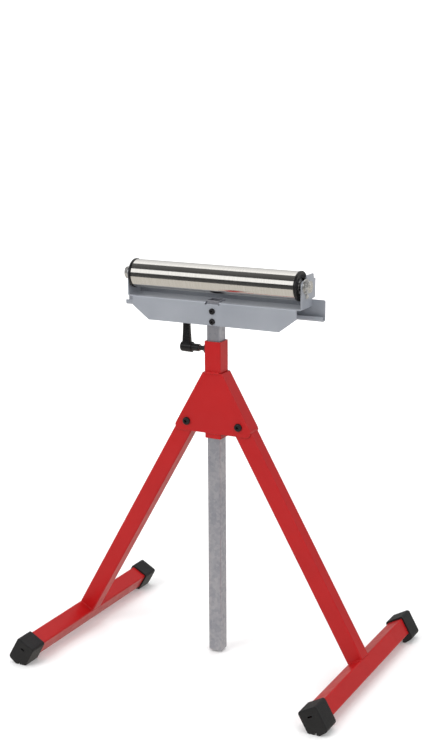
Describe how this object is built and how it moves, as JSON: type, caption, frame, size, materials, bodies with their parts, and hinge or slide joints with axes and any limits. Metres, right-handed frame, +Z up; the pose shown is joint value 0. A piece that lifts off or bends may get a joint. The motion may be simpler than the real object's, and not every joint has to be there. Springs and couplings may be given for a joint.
{
  "type": "foldable roller stand",
  "caption": "Foldable workpiece support stand: a free-turning roller on a height-adjustable square mast, carried by two folding legs with cross feet.",
  "frame": {"origin": "on the floor, under the middle of the mast, legs spread and head fully lowered", "axes": "+X along the roller to the right, +Y to the rear where the rail is, +Z up along the mast"},
  "size_m": [0.5984, 0.421, 0.6866],
  "materials": {
    "red_paint": "satin powder coat",
    "silver_paint": "satin powder coat",
    "galvanised": "galvanised, matt",
    "polished_steel": "turned and polished",
    "zinc": "bright zinc plate",
    "black_steel": "black oxide",
    "black_rubber": "moulded, matt",
    "black_plastic": "moulded, fine texture",
    "bearing_steel": "ground"
  },
  "bodies": {
    "frame": {"sleeve": "red_paint", "hub_front_plate": "red_paint", "hub_rear_plate": "red_paint", "clamp_nut": "black_steel", "pivot_bolts": "black_steel", "pivot_washers": "zinc", "pivot_nuts": "zinc"},
    "left_leg": {"leg_left": "red_paint", "foot_bar_left": "red_paint", "foot_cap_front_left": "black_rubber", "foot_cap_rear_left": "black_rubber"},
    "right_leg": {"leg_right": "red_paint", "foot_bar_right": "red_paint", "foot_cap_front_right": "black_rubber", "foot_cap_rear_right": "black_rubber"},
    "clamp": {"clamp_stud": "black_steel", "lever_insert": "zinc", "handle_screw": "black_steel", "handle_spring": "zinc"},
    "lever": {"clamp_handle": "black_plastic"},
    "head": {"mast": "galvanised", "head_bracket": "silver_paint", "rear_rail": "silver_paint", "head_screws": "black_steel", "mast_weld_nuts": "zinc", "ear_screws": "zinc", "axle": "zinc", "axle_washers": "zinc", "axle_nuts": "zinc", "axle_spacers": "zinc", "bearing_inner_rings": "bearing_steel"},
    "roller": {"roller_tube": "polished_steel", "roller_cap_left": "black_plastic", "roller_cap_right": "black_plastic", "bearing_outer_ring_left": "bearing_steel", "bearing_outer_ring_right": "bearing_steel"}
  },
  "joints": [
    {"name": "left_leg_fold", "type": "hinge", "parent": "frame", "child": "left_leg", "pos_m": [-0.049, 0, 0.41866], "axis": [0, -1, 0], "range_deg": [0, 29.6]},
    {"name": "right_leg_fold", "type": "hinge", "parent": "frame", "child": "right_leg", "pos_m": [0.049, 0, 0.41866], "axis": [0, 1, 0], "range_deg": [0, 29.6]},
    {"name": "height", "type": "slide", "parent": "frame", "child": "head", "axis": [0, 0, 1], "range_m": [0, 0.391]},
    {"name": "roller_spin", "type": "hinge", "parent": "head", "child": "roller", "pos_m": [0, 0, 0.662], "axis": [1, 0, 0], "continuous": true},
    {"name": "clamp_turn", "type": "hinge", "parent": "frame", "child": "clamp", "pos_m": [-0.031, 0, 0.5438], "axis": [-1, 0, 0], "range_deg": [0, 180]},
    {"name": "lever_pull", "type": "slide", "parent": "clamp", "child": "lever", "axis": [-1, 0, 0], "range_m": [0, 0.004], "stiffness_N_per_m": 400, "springref_m": -0.004, "deforming": ["handle_spring"]}
  ]
}
